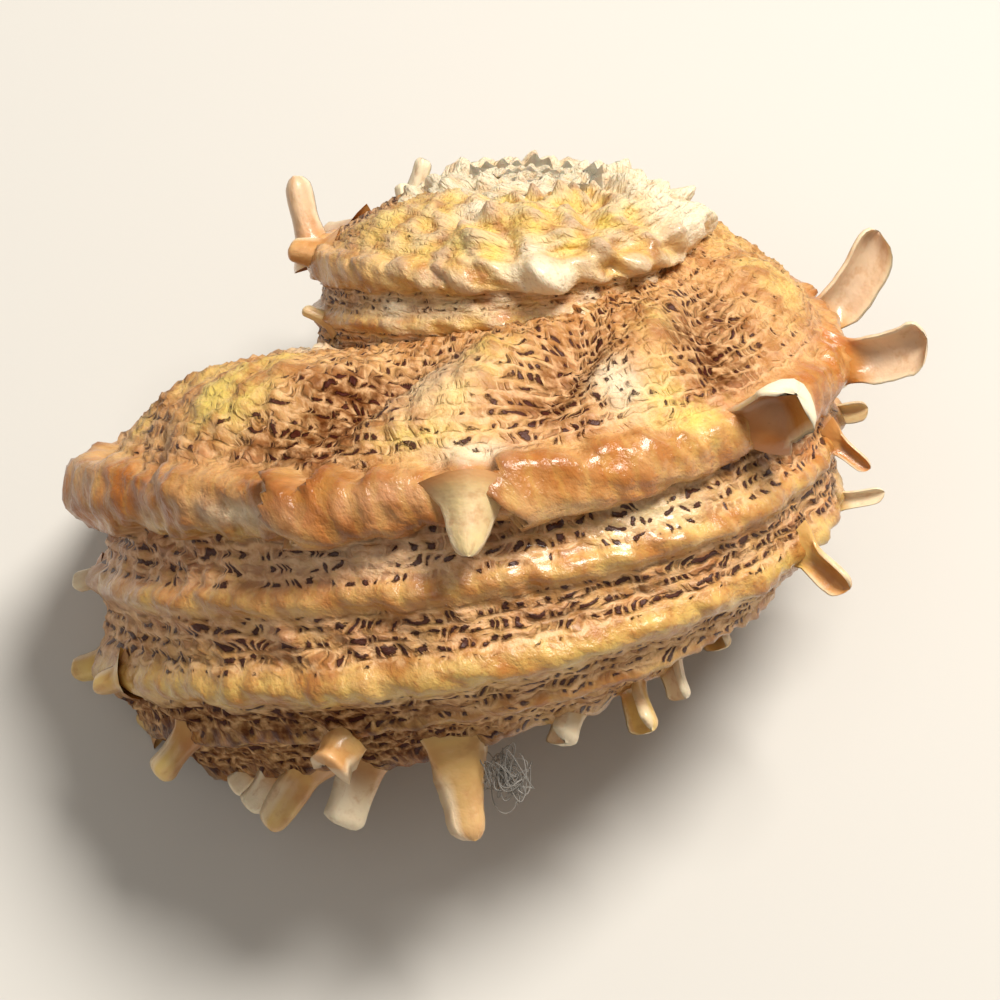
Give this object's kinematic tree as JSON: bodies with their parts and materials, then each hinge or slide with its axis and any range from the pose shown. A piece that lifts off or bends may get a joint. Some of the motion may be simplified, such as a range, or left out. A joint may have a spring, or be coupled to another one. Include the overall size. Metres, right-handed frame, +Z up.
{
  "type": "dolphin snail shell",
  "caption": "Coiled sea snail shell with a spiny shoulder keel, spiral cords, a folded ramp, a worn flat spire, an open umbilicus and a round mouth, lying on its mouth side.",
  "frame": {"origin": "centre of the bounding box in plan, at floor level", "axes": "+Z up with the shell lying on its mouth side, -Y to the viewer of the picture, +X to the picture's right"},
  "size_m": [0.0634, 0.054, 0.0407],
  "materials": {
    "shell": "satin"
  },
  "bodies": {
    "root": {"shell": "shell"}
  },
  "joints": []
}
